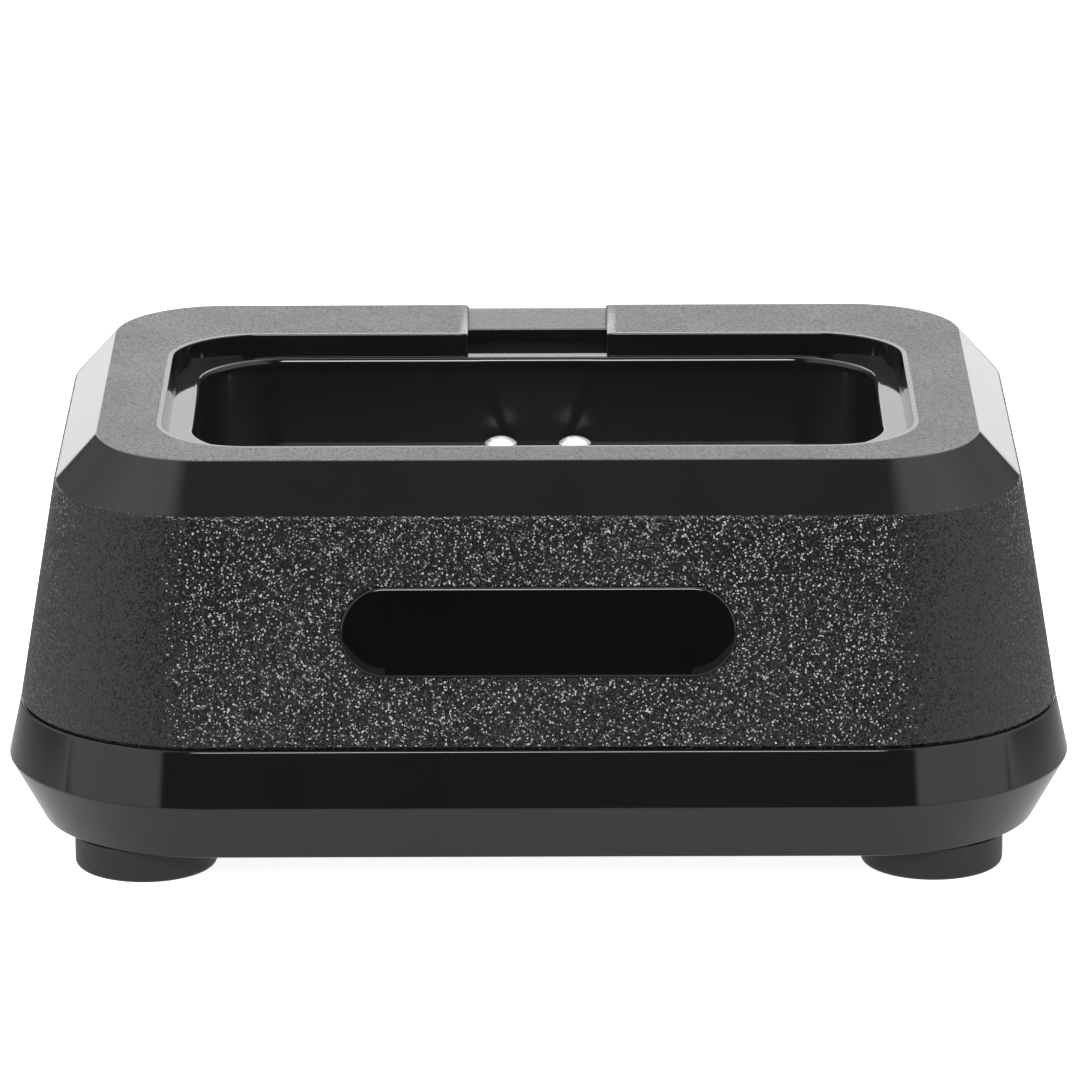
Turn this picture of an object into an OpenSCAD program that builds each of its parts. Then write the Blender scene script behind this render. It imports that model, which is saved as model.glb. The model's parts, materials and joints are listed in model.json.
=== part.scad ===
// Charging stand for a cordless hair clipper: a low box with sloping sides, a well that the
// clipper's tail drops into, and two sprung contacts in the well's floor.
// Frame: +Z up, front towards -Y, +X to the right seen from the front. The origin is on the
// surface that the stand rests on, under the middle of the base. All sizes in millimetres.

/* [Outer shape] */
// Width of the flat top rim
top_w = 74.3; // [73:0.1:76]
// Depth of the flat top rim
top_d = 50.8; // [50:0.1:52]
// Corner radius of the top rim
top_r = 9.3; // [9.2:0.1:9.8]
// Height of the top rim
top_z = 36.0; // [35.8:0.1:36.4]
// How far the polished chamfer under the rim runs outwards
chamfer_out = 3.65; // [3.6:0.05:4]
// Height of the chamfer's lower edge
chamfer_z = 31.95; // [31.9:0.05:32.1]
// Outward offset of the body at the parting line, from the top rim
seam_out = 6.8; // [6.7:0.1:6.9]
// Height of the parting line between the upper housing and the base
seam_z = 12.8; // [12.7:0.1:13]
// Outward offset of the base at its widest line
band_out = 7.85; // [7.6:0.05:8]
// Height of the base's widest line
band_z = 8.05; // [7.8:0.05:8.3]
// Outward offset of the base's underside
floor_out = 5.0; // [4.8:0.1:5.2]
// Height of the base's underside, which is the height of the feet
foot_h = 2.85; // [2.7:0.05:3]
// Wall thickness of both housings, measured level
wall = 2.2; // [2:0.1:2.3]

/* [Well] */
// Width of the opening in the top rim
rim_w = 63.5; // [63:0.1:64]
// Depth of the opening in the top rim
rim_d = 36.2; // [36:0.1:36.5]
// Middle of the opening in the top rim, front to back
rim_y = -2.9; // [-3:0.1:-2.8]
// Width of the well at the ledge
well_w = 58.6; // [58:0.1:59]
// Depth of the well at the ledge
well_d = 30.1; // [29.8:0.1:30.3]
// Middle of the well, front to back
well_y = -0.45; // [-0.5:0.05:-0.4]
// Corner radius of the rim opening and of the well
well_r = 7.5; // [7:0.1:8]
// Depth of the ledge below the rim
ledge_drop = 2.0; // [1.9:0.1:2.1]
// Depth of the well's floor below the ledge
well_drop = 7.6; // [7.4:0.1:7.6]
// Draft of the well's walls in degrees
well_draft = 3; // [2:0.5:4]
// Wall thickness of the well insert
insert_wall = 1.8; // [1.6:0.1:1.8]
// Width of the keyway at the back of the rim
key_w = 12.2; // [11.5:0.1:12.6]
// Where the keyway's back wall is
key_y = 19.9; // [19.8:0.1:20.1]
// How far the rim behind the keyway is lowered
key_step = 0.8; // [0.6:0.1:0.9]

/* [Contacts] */
// Distance between the two contacts
contact_pitch = 6.5; // [6.3:0.1:6.8]
// Distance of the contacts behind the stand's middle
contact_y = 10.4; // [10.2:0.1:10.5]
// Radius of a contact's domed stem
stem_r = 1.4; // [1.3:0.05:1.45]
// How far a contact's straight stem stands above the well's floor
stem_out = 1.0; // [0.9:0.1:1.1]
// Height of the dome on the stem
dome_h = 0.54; // [0.5:0.02:0.6]
// Radial running clearance of the stem and of its collar
run_gap = 0.08; // [0.05:0.01:0.1]
// Travel of a contact when a clipper pushes it down
travel = 1.2; // [1:0.1:1.2]

/* [Feet] */
// Radius of a rubber foot
foot_r = 6.0; // [5.8:0.1:6.2]
// Distance of the feet from the middle, left and right
foot_x = 33.2; // [32.9:0.1:33.3]
// Distance of the feet from the middle, front and back
foot_y = 22.6; // [22.3:0.1:22.7]

/* [Power inlet] */
// Height of the inlet's axis
inlet_z = 19.4; // [19.3:0.1:19.5]
// Radius of the hole in the back wall
inlet_r = 3.4; // [3.2:0.1:3.6]
// Radius of the round dish that the hole sits in
dish_r = 4.8; // [4.6:0.1:4.8]
// Where the dish's flat bottom is, front to back
dish_y = 30.2; // [30.1:0.1:30.3]
// Thickness of the wall that the hole goes through
inlet_wall = 2.6; // [2.4:0.1:2.7]

/* [Badge] */
// Length of the plain badge on the front
badge_w = 33.0; // [30:0.5:34]
// Height of the badge
badge_h = 7.6; // [7:0.1:8]
// Height of the badge's middle above the resting surface
badge_z = 22.6; // [22:0.1:23.4]

/* [Hidden] */
$fn = 48;

over = 1; // how far a cut runs past the surface that it opens
ledge_z = top_z - ledge_drop;
floor_z = ledge_z - well_drop;
draft_in = well_drop * tan(well_draft);
rim_draft = ledge_drop * tan(2);
slope = atan((seam_out - chamfer_out) / (chamfer_z - seam_z));

// Outer offset of the body at a height between the parting line and the chamfer
function body_out(z) = seam_out + (chamfer_out - seam_out) * (z - seam_z) / (chamfer_z - seam_z);
// Outer offset of the chamfer at a height between its lower edge and the rim
function rim_out(z) = chamfer_out * (top_z - z) / (top_z - chamfer_z);

// Parting line: a shadow groove outside, a locating lip on the base inside
groove_h = 0.25;
groove_in = 0.5;
lip_t = 1.0;
lip_h = 1.6;
lip_gap = 0.1;
base_floor_t = 2.0;
deck_z = foot_h + base_floor_t;

// Badge: how deep it is let in, how far it stands out, and the gap round it
badge_sunk = 0.6;
badge_proud = 0.3;
badge_gap = 0.1;

// Well insert: flange under the rim, lugs for its four screws
flange_t = 1.8;
flange_side = 1.25;
flange_front = 2.2;
flange_back = 6.8;
lug_x = 35.6;
lug_y = 10;
lug_t = 2.0;
lug_r = 3.0;
post_r = 2.3;
under_z = floor_z - insert_wall;
scoop_depth = 0.15;

// Screws: head radius, head height, shank radius and length of each kind
case_screw = [2.6, 1.7, 1.4, 18];
insert_screw = [2.1, 1.5, 1.1, 7];
guide_screw = [1.9, 1.3, 0.9, 5.2];
board_screw = [2.0, 1.4, 1.0, 7];
ballast_screw = [3.6, 1.4, 1.1, 3.6];
screw_gap = 0.2;

// Case screws stand on the feet's axes
case_join_z = seam_z + lip_h + lip_gap;
case_boss_r = 3.2;
case_post_r = 4.1;
case_boss_top = 31.2;
rib_t = 1.2;
rib_low = 22;
rib_drop = 0.6;
rib_reach = 12.8;
case_head_z = foot_h + 3.55;
case_hole_top = 26.4;
counterbore_r = 3.0;
peg_h = 1.65;
peg_gap = 0.1;
foot_edge = 0.3;

// Circuit board
board_z = seam_z + 0.4;
board_t = 1.6;
board_top = board_z + board_t;
board_x = 26;
board_front = -14;
board_back = 27;
board_posts = [[-23, -11.5], [23, -11.5], [-23, 22.5], [23, 22.5]];
board_post_r = 2.6;
lead_r = 0.35;
fit_gap = 0.05;
tail_z = board_z - 1.4;

// Contacts: barrel, collar and spring
barrel_r = 2.3;
barrel_bore = 1.95;
barrel_floor = 1.0;
barrel_lip = 0.8;
collar_h = 1.8;
collar_z = under_z - barrel_lip - collar_h;
spring_r = 1.4;
spring_wire = 0.2;
spring_turns = 6;
spring_seat_r = 0.9;
spring_seat_h = 1.0;
barrel_tail_r = 0.5;
contact_x = contact_pitch / 2;
guide_screw_x = 12;
guide_low = board_top + 1.2;
guide_ear_z = under_z - 6.6;
guide_ear_t = 1.8;
guide_ear_r = 2.6;
guide_half_x = 6.6;
guide_half_y = 3.6;

// Power jack
jack_half = 4.0;
jack_front = 27.2;
jack_back = 15.8;
jack_top = inlet_z + 4.6;
jack_bore = 1.85;
jack_bore_end = 17.8;
jack_lip = 0.8;
pin_r = 0.65;
pin_end = 26;
pin_tip = 0.4;

// Metal strips of the jack: three stand in the board, one of them carries the sleeve's leaf
strip_w = 1.6;
strip_t = 0.6;
rear_strip_y = 15.0;
rear_strip_top = inlet_z + 0.9;
sleeve_strip_y = 18.4;
side_strip_y = 21;
side_strip_w = 2;
side_strip_t = 0.5;
side_strip_top = inlet_z - 2;
leaf_low = inlet_z - 2.6;
leaf_t = 0.4;
leaf_end = 26;
leaf_gap = 0.2;
leaf_bump_y = 22.8;
leaf_bump_h = 0.45;
leaf_bump_half = 1.2;

// Ballast
ballast_x = 19;
ballast_y = 21;
ballast_t = 4.0;
ballast_screw_x = 14;
ballast_post_r = 2.4;
ballast_post_low = 0.4; // how far its screw posts stay below the plate's top

// Components: where each stands, its radius, its height or length, and its leads' distance
stand_off = 0.2;
capacitor_at = [-15, 21.5];
capacitor_size = [3.15, 7.4, 2.5];
vent_w = 0.2;
fuse_at = [15, -3];
fuse_size = [4.1, 7.2, 5];
diode_at = [14, 21];
diode_size = [1.35, 5.2, 8];
resistors_at = [[-18, -6], [-18, -2], [-18, 2]];
resistor_size = [0.95, 4.2, 6.8];

// Solid with a w by d outline and corners of radius r, grown by each level's offset at that
// level's height. levels is [[offset, z], ...] from the bottom up.
module loft(w, d, r, levels) {
    cx = w / 2 - r;
    cy = d / 2 - r;
    last = len(levels) - 1;
    edge = [for (l = levels) [r + l[0], l[1]]];
    for (mx = [0, 1], my = [0, 1])
        mirror([mx, 0, 0]) mirror([0, my, 0]) translate([cx, cy, 0])
            rotate_extrude(angle = 90, $fn = 96)
                polygon(concat([[0, levels[0][1]]], edge, [[0, levels[last][1]]]));
    rotate([90, 0, 90]) linear_extrude(2 * cx, center = true) polygon(both_sides(edge, cy));
    rotate([90, 0, 0]) linear_extrude(2 * cy, center = true) polygon(both_sides(edge, cx));
}

// Outline of a loft's cross-section: the edge on the right, then the same edge on the left
function both_sides(edge, c) = concat(
    [for (p = edge) [c + p[0], p[1]]],
    [for (i = [len(edge) - 1:-1:0]) [-c - edge[i][0], edge[i][1]]]
);

module body_loft(levels) loft(top_w, top_d, top_r, levels);

module at_corners(x, y) for (sx = [-1, 1], sy = [-1, 1]) translate([sx * x, sy * y, 0]) children();

module at_pair(x, y) for (sx = [-1, 1]) translate([sx * x, y, 0]) children();

module at_points(points) for (p = points) translate([p[0], p[1], 0]) children();

module rod(r, z0, z1) translate([0, 0, z0]) cylinder(r = r, h = z1 - z0);

module rod_y(r, y0, y1, z) translate([0, y0, z]) rotate([-90, 0, 0]) cylinder(r = r, h = y1 - y0);

// Pan-head screw with a cross recess. size is head radius, head height, shank radius and
// length. The underside of its head is at z = 0 and its shank goes up; flip turns it over.
module screw(size, flip = false) {
    head_r = size[0];
    head_h = size[1];
    shank_r = size[2];
    length = size[3];
    slot_w = head_r * 0.28;
    slot_l = head_r * 1.1;
    slot_d = head_h * 0.6;
    mirror([0, 0, flip ? 1 : 0]) difference() {
        union() {
            rod(head_r, -head_h * 0.6, 0);
            translate([0, 0, -head_h]) cylinder(r1 = head_r * 0.8, r2 = head_r, h = head_h * 0.4);
            rod(shank_r, 0, length - shank_r);
            translate([0, 0, length - shank_r]) cylinder(r1 = shank_r, r2 = shank_r * 0.3, h = shank_r);
        }
        for (a = [0, 90]) rotate([0, 0, a])
            translate([-slot_l / 2, -slot_w / 2, -head_h - over]) cube([slot_l, slot_w, slot_d + over]);
    }
}

// Leads of a component, straight down from its body through the board
module leads(points, z_from) at_points(points) rod(lead_r, tail_z, z_from);

// ---- Housings ----

module housing_shell() {
    difference() {
        union() {
            body_loft([
                [body_out(seam_z + groove_h), seam_z + groove_h],
                [chamfer_out, chamfer_z],
                [0, top_z]
            ]);
            body_loft([[seam_out - groove_in, seam_z], [seam_out - groove_in, seam_z + groove_h + 0.1]]);
        }
        body_loft([
            [body_out(seam_z - over) - wall, seam_z - over],
            [chamfer_out - wall, chamfer_z],
            [rim_out(ledge_z) - wall, ledge_z]
        ]);
        translate([0, rim_y, 0]) loft(rim_w, rim_d, well_r, [
            [-rim_draft, ledge_z - 0.1], [-rim_draft * 0.2, top_z - 0.4], [0.4, top_z + over * 0.4]
        ]);
    }
}

module keyway() {
    translate([-key_w / 2, rim_y, ledge_z - 0.1]) cube([key_w, key_y - rim_y, ledge_drop + over]);
    translate([-key_w / 2, key_y - 0.1, top_z - key_step]) cube([key_w, top_d, key_step + over]);
}

// Space for the base's locating lip
module lip_space() {
    grow = seam_out - wall + lip_t + lip_gap;
    body_loft([[grow, seam_z - over], [grow, case_join_z]]);
}

// Ribs that tie the case-screw bosses to the housing's corners
module case_rib() {
    corner_x = top_w / 2 - top_r;
    corner_y = top_d / 2 - top_r;
    away = atan2(foot_y - corner_y, foot_x - corner_x);
    reach = rib_reach - norm([foot_x - corner_x, foot_y - corner_y]);
    rotate([0, 0, away]) translate([0, -rib_t / 2, rib_low])
        cube([reach, rib_t, case_boss_top - rib_drop - rib_low]);
}

module case_bosses() {
    for (mx = [0, 1], my = [0, 1]) mirror([mx, 0, 0]) mirror([0, my, 0]) translate([foot_x, foot_y, 0]) {
        rod(case_boss_r, case_join_z, case_boss_top);
        case_rib();
    }
}

module badge_plate(low, high, grow = 0) {
    end_r = badge_h / 2;
    half = badge_w / 2 - end_r;
    front_y = top_d / 2 + body_out(badge_z);
    translate([0, -front_y, badge_z]) rotate([90 - slope, 0, 0]) {
        translate([-half, -end_r - grow, low]) cube([2 * half, 2 * (end_r + grow), high - low]);
        at_pair(half, 0) rod(end_r + grow, low, high);
    }
}

module upper_housing() {
    color("#1c1c1e") difference() {
        union() {
            housing_shell();
            case_bosses();
            at_corners(lug_x, lug_y) rod(post_r, under_z + lug_t, ledge_z + 0.2);
            rod_y(inlet_r + inlet_wall, dish_y - inlet_wall, dish_y + 0.2, inlet_z);
        }
        lip_space();
        keyway();
        at_corners(foot_x, foot_y) rod(case_screw[2], case_join_z - over, case_hole_top);
        at_corners(lug_x, lug_y) rod(insert_screw[2], under_z + lug_t - over, ledge_z - 1.6);
        rod_y(inlet_r, jack_front - over, dish_y + over, inlet_z);
        rod_y(dish_r, dish_y, dish_y + 10, inlet_z);
        badge_plate(-badge_sunk, 3, badge_gap);
    }
}

module well_insert() {
    flange_d = rim_d + flange_front + flange_back;
    flange_y = rim_y + (flange_back - flange_front) / 2;
    color("#0f0f11") difference() {
        union() {
            translate([0, flange_y, 0]) loft(rim_w + 2 * flange_side, flange_d, well_r + 0.8, [
                [0, ledge_z - flange_t], [0, ledge_z]
            ]);
            translate([0, well_y, 0]) loft(well_w, well_d, well_r, [
                [insert_wall - draft_in, under_z], [insert_wall, ledge_z]
            ]);
            at_corners(lug_x, lug_y) rod(lug_r, under_z, under_z + lug_t);
            for (s = [-1, 1]) translate([0, s * lug_y - lug_r, under_z])
                translate([-lug_x, 0, 0]) cube([2 * lug_x, 2 * lug_r, lug_t]);
            at_pair(guide_screw_x, contact_y) rod(post_r, guide_ear_z + guide_ear_t, under_z + 0.2);
        }
        translate([0, well_y, 0]) loft(well_w, well_d, well_r, [
            [-draft_in, floor_z], [0, ledge_z], [0, ledge_z + over]
        ]);
        scoop();
        at_pair(contact_x, contact_y) rod(stem_r + run_gap, under_z - over, floor_z + over);
        at_corners(lug_x, lug_y) rod(insert_screw[2] + screw_gap, under_z - over, under_z + lug_t + over);
        at_pair(guide_screw_x, contact_y) rod(guide_screw[2], guide_ear_z, under_z - 0.4);
    }
}

// Shallow tapered channel down the well's back wall, from the keyway to the contacts
module scoop() {
    top_half = key_w / 2 - 0.3;
    top = ledge_z - 0.6;
    back_y = well_y + well_d / 2 + scoop_depth;
    translate([0, back_y, 0]) rotate([90, 0, 0]) linear_extrude(4)
        polygon([[-contact_x, floor_z], [contact_x, floor_z], [top_half, top], [-top_half, top]]);
}

module base_shell() {
    inner_floor_out = floor_out + (band_out - floor_out) * base_floor_t / (band_z - foot_h) - wall;
    difference() {
        body_loft([[floor_out, foot_h], [band_out, band_z], [seam_out, seam_z]]);
        body_loft([
            [inner_floor_out, deck_z], [band_out - wall, band_z],
            [seam_out - wall, seam_z], [seam_out - wall, seam_z + over]
        ]);
    }
    difference() {
        body_loft([[seam_out - wall + lip_t, seam_z - 1], [seam_out - wall + lip_t, seam_z + lip_h]]);
        body_loft([[seam_out - wall, seam_z - 1 - over], [seam_out - wall, seam_z + lip_h + over]]);
    }
}

module base_housing() {
    color("#161618") difference() {
        union() {
            base_shell();
            at_corners(foot_x, foot_y) rod(case_post_r, foot_h + 0.5, case_join_z);
            at_points(board_posts) rod(board_post_r, deck_z - 0.5, board_z);
            at_pair(ballast_screw_x, 0)
                rod(ballast_post_r, deck_z - 0.5, deck_z + ballast_t - ballast_post_low);
        }
        at_corners(foot_x, foot_y) {
            rod(counterbore_r, foot_h - over, case_head_z);
            rod(case_screw[2] + screw_gap, case_head_z - 0.1, case_join_z + over);
        }
        at_points(board_posts) rod(board_screw[2], board_z - 6, board_z + over);
        at_pair(ballast_screw_x, 0) rod(ballast_screw[2], deck_z - 0.05, deck_z + ballast_t + over);
    }
}

module front_badge() {
    color("#050506") badge_plate(-badge_sunk, badge_proud);
}

// Rubber foot with a peg that plugs the screw's counterbore
module foot(sx, sy) {
    color("#101010") translate([sx * foot_x, sy * foot_y, 0]) {
        cylinder(r1 = foot_r - foot_edge, r2 = foot_r, h = foot_edge);
        rod(foot_r, foot_edge, foot_h);
        rod(counterbore_r - peg_gap, foot_h - 0.1, foot_h + peg_h);
    }
}

// ---- Contacts ----

module contact_plunger(sx) {
    straight_z = floor_z + stem_out;
    dome_r = (stem_r * stem_r + dome_h * dome_h) / (2 * dome_h);
    color("gainsboro") translate([sx * contact_x, contact_y, 0]) {
        rod(stem_r, collar_z, straight_z);
        rod(barrel_bore - run_gap, collar_z, collar_z + collar_h);
        rod(spring_seat_r, collar_z - spring_seat_h, collar_z + 0.1);
        intersection() {
            translate([0, 0, straight_z + dome_h - dome_r]) sphere(r = dome_r);
            rod(stem_r, straight_z - 0.1, straight_z + dome_h + over);
        }
    }
}

module contact_barrel(sx) {
    color("goldenrod") translate([sx * contact_x, contact_y, 0]) difference() {
        union() {
            rod(barrel_r, board_top, under_z);
            rod(barrel_tail_r, tail_z, board_top + 0.1);
        }
        rod(barrel_bore, board_top + barrel_floor, under_z - barrel_lip);
        rod(stem_r + run_gap, under_z - barrel_lip - 0.1, under_z + over);
    }
}

// Ring of points of the spring's wire at turn t, from 0 to spring_turns
function wire_ring(t, low, pitch, sides) = [
    for (i = [0:sides - 1])
        let (a = 360 * i / sides, r = spring_r + spring_wire * cos(a))
        [r * cos(360 * t), r * sin(360 * t), low + pitch * t + spring_wire * sin(a)]
];

module contact_spring(sx) {
    sides = 8;
    steps = 20;
    low = board_top + barrel_floor + spring_wire;
    high = collar_z - spring_wire;
    pitch = (high - low) / spring_turns;
    rings = spring_turns * steps;
    points = [for (k = [0:rings]) each wire_ring(k / steps, low, pitch, sides)];
    tube = [
        for (k = [0:rings - 1], i = [0:sides - 1])
            let (j = (i + 1) % sides)
            [k * sides + i, (k + 1) * sides + i, (k + 1) * sides + j, k * sides + j]
    ];
    ends = [[for (i = [0:sides - 1]) i], [for (i = [sides - 1:-1:0]) rings * sides + i]];
    color("silver") translate([sx * contact_x, contact_y, 0]) polyhedron(points, concat(tube, ends));
}

module contact_guide() {
    color("dimgray") difference() {
        union() {
            translate([-guide_half_x, contact_y - guide_half_y, guide_low])
                cube([2 * guide_half_x, 2 * guide_half_y, under_z - guide_low]);
            translate([-guide_screw_x, contact_y - guide_ear_r, guide_ear_z])
                cube([2 * guide_screw_x, 2 * guide_ear_r, guide_ear_t]);
            at_pair(guide_screw_x, contact_y) rod(guide_ear_r, guide_ear_z, guide_ear_z + guide_ear_t);
        }
        at_pair(contact_x, contact_y) rod(barrel_r + fit_gap, board_top, under_z + over);
        at_pair(guide_screw_x, contact_y)
            rod(guide_screw[2] + screw_gap, guide_ear_z - over, guide_ear_z + guide_ear_t + over);
    }
}

// ---- Circuit board and what is on it ----

// The two places where a part's leads go through the board
function leads_of(at, size) = [[at[0] - size[2] / 2, at[1]], [at[0] + size[2] / 2, at[1]]];

// Slot that a strip of the jack stands in
module strip_slot(y, low, high)
    translate([-strip_w / 2 - fit_gap, y - fit_gap, low])
        cube([strip_w + 2 * fit_gap, strip_t + 2 * fit_gap, high - low]);

module circuit_board() {
    under = board_z - over;
    color("darkgreen") difference() {
        translate([-board_x, board_front, board_z]) cube([2 * board_x, board_back - board_front, board_t]);
        at_points(board_posts) rod(board_screw[2] + screw_gap, under, board_top + over);
        at_pair(contact_x, contact_y) rod(barrel_tail_r + fit_gap, under, board_top + over);
        at_points(concat(
            leads_of(diode_at, diode_size),
            leads_of(capacitor_at, capacitor_size),
            leads_of(fuse_at, fuse_size),
            [for (p = resistors_at) each leads_of(p, resistor_size)]
        )) rod(lead_r + fit_gap, under, board_top + over);
        strip_slot(rear_strip_y, under, board_top + over);
        strip_slot(sleeve_strip_y, under, board_top + over);
        translate([jack_half - fit_gap, side_strip_y - fit_gap, under])
            cube([side_strip_t + 2 * fit_gap, side_strip_w + 2 * fit_gap, board_t + 2 * over]);
    }
}

module jack_body() {
    leaf_back = sleeve_strip_y - leaf_gap;
    color("#202020") difference() {
        translate([-jack_half, jack_back, board_top])
            cube([2 * jack_half, jack_front - jack_back, jack_top - board_top]);
        rod_y(jack_bore, jack_bore_end, jack_front + over, inlet_z);
        rod_y(pin_r + 0.02, jack_back - over, jack_bore_end + over, inlet_z);
        translate([-strip_w / 2 - leaf_gap, leaf_back, leaf_low - leaf_gap])
            cube([strip_w + 2 * leaf_gap, jack_front - jack_lip - leaf_back, leaf_t + 5 * leaf_gap]);
        strip_slot(sleeve_strip_y, board_top - over, leaf_low);
    }
}

module jack_center_pin() {
    color("silver") {
        rod_y(pin_r, rear_strip_y + strip_t, pin_end, inlet_z);
        translate([0, pin_end, inlet_z]) rotate([-90, 0, 0])
            cylinder(r1 = pin_r, r2 = pin_r * 0.5, h = pin_tip);
    }
}

// Leaf spring that presses on the plug's sleeve, and its solder tail
module jack_sleeve_spring() {
    leaf_top = leaf_low + leaf_t;
    color("goldenrod") {
        translate([-strip_w / 2, 0, 0]) rotate([90, 0, 90]) linear_extrude(strip_w) polygon([
            [sleeve_strip_y, leaf_low], [leaf_end, leaf_low], [leaf_end, leaf_top],
            [leaf_bump_y + leaf_bump_half, leaf_top], [leaf_bump_y, leaf_top + leaf_bump_h],
            [leaf_bump_y - leaf_bump_half, leaf_top], [sleeve_strip_y, leaf_top]
        ]);
        translate([-strip_w / 2, sleeve_strip_y, tail_z]) cube([strip_w, strip_t, leaf_low - tail_z + 0.1]);
    }
}

module jack_terminals() {
    color("silver") {
        translate([-strip_w / 2, rear_strip_y, tail_z]) cube([strip_w, strip_t, rear_strip_top - tail_z]);
        translate([jack_half, side_strip_y, tail_z])
            cube([side_strip_t, side_strip_w, side_strip_top - tail_z]);
    }
}

// Round part lying along X on the board, with its two leads bent down through the board
module axial_part(at, size, tint) {
    r = size[0];
    z = board_top + r + stand_off;
    points = leads_of(at, size);
    color(tint) translate([at[0], at[1], z]) rotate([0, 90, 0]) cylinder(r = r, h = size[1], center = true);
    color("silver") {
        translate([at[0], at[1], z]) rotate([0, 90, 0]) cylinder(r = lead_r, h = size[2], center = true);
        at_points(points) translate([0, 0, z]) sphere(r = lead_r);
        leads(points, z);
    }
}

module rectifier_diode() axial_part(diode_at, diode_size, "#222222");

module board_resistors() for (p = resistors_at) axial_part(p, resistor_size, "tan");

// Round part standing on the board
module upright_part(at, size) {
    low = board_top + stand_off;
    at_points([at]) rod(size[0], low, low + size[1]);
    leads(leads_of(at, size), low + 0.1);
}

module filter_capacitor() {
    top = board_top + stand_off + capacitor_size[1];
    color("midnightblue") difference() {
        upright_part(capacitor_at, capacitor_size);
        at_points([capacitor_at]) for (a = [0, 90]) rotate([0, 0, a])
            translate([-2, -vent_w / 2, top - vent_w]) cube([4, vent_w, over]);
    }
}

module fuse() {
    color("saddlebrown") upright_part(fuse_at, fuse_size);
}

// ---- Ballast ----

module ballast_plate() {
    color("slategray") difference() {
        translate([-ballast_x, -ballast_y, deck_z]) cube([2 * ballast_x, 2 * ballast_y, ballast_t]);
        at_pair(ballast_screw_x, 0)
            rod(ballast_post_r + screw_gap, deck_z - over, deck_z + ballast_t + over);
    }
}

// ---- Screws ----

module ballast_screws() {
    color("silver") at_pair(ballast_screw_x, 0) translate([0, 0, deck_z + ballast_t])
        screw(ballast_screw, flip = true);
}

module housing_screws() {
    color("silver") at_corners(foot_x, foot_y) translate([0, 0, case_head_z]) screw(case_screw);
}

module insert_screws() {
    color("silver") at_corners(lug_x, lug_y) translate([0, 0, under_z]) screw(insert_screw);
}

module guide_screws() {
    color("silver") at_pair(guide_screw_x, contact_y) translate([0, 0, guide_ear_z]) screw(guide_screw);
}

module board_screws() {
    color("silver") at_points(board_posts) translate([0, 0, board_top]) screw(board_screw, flip = true);
}

upper_housing();
well_insert();
base_housing();
front_badge();
foot(-1, -1);  // foot_front_left
foot(1, -1);  // foot_front_right
foot(-1, 1);  // foot_rear_left
foot(1, 1);  // foot_rear_right
contact_plunger(-1);  // contact_plunger_left
contact_plunger(1);  // contact_plunger_right
contact_spring(-1);  // contact_spring_left
contact_spring(1);  // contact_spring_right
contact_barrel(-1);  // contact_barrel_left
contact_barrel(1);  // contact_barrel_right
contact_guide();
guide_screws();
circuit_board();
board_screws();
jack_body();
jack_center_pin();
jack_sleeve_spring();
jack_terminals();
rectifier_diode();
filter_capacitor();
fuse();
board_resistors();
ballast_plate();
ballast_screws();
housing_screws();
insert_screws();
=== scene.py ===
import json
import math

import bmesh
import bpy
from mathutils import Matrix, Vector


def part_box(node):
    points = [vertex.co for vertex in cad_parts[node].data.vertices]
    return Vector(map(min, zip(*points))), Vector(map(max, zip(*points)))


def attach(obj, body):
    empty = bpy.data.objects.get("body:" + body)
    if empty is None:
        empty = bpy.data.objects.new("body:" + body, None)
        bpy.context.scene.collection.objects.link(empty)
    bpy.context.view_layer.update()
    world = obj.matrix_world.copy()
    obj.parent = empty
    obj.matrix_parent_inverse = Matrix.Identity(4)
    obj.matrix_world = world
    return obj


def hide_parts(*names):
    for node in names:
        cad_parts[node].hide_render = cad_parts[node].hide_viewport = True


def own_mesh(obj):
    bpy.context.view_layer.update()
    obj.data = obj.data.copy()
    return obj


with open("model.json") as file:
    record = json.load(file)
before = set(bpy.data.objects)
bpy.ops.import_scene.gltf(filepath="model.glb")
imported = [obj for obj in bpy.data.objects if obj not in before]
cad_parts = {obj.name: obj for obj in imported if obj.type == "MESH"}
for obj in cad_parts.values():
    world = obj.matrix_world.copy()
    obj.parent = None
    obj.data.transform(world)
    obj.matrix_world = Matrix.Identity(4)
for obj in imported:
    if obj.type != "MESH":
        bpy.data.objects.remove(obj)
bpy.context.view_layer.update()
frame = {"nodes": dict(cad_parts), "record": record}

MM = 0.001


def box_mm(node):
    low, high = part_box(node)
    return low / MM, high / MM


upper_low, upper_high = box_mm("upper_housing")
insert_low, insert_high = box_mm("well_insert")
base_low, base_high = box_mm("base_housing")
foot_low, foot_high = box_mm("foot_front_right")
pin_low, pin_high = box_mm("contact_plunger_right")
spring_low, spring_high = box_mm("contact_spring_right")
badge_low, badge_high = box_mm("front_badge")

# Outer shape: offsets run outwards from the outline of the flat top rim
TOP_R = 9.3
CHAMFER_OUT = 3.65
CHAMFER_DROP = 4.05
SEAM_OUT = 6.8
BAND_OUT = 7.85
BAND_Z = 8.05
FLOOR_OUT = 5.0
WALL = 2.2
GROOVE_H = 0.25
GROOVE_IN = 0.5
LIP_T = 1.0
LIP_H = 1.6
LIP_GAP = 0.1
top_z = upper_high.z
seam_z = upper_low.z
chamfer_z = top_z - CHAMFER_DROP
foot_h = base_low.z
top_half_x = base_high.x - BAND_OUT
top_half_y = base_high.y - BAND_OUT
slope = math.atan((SEAM_OUT - CHAMFER_OUT) / (chamfer_z - seam_z))

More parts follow.
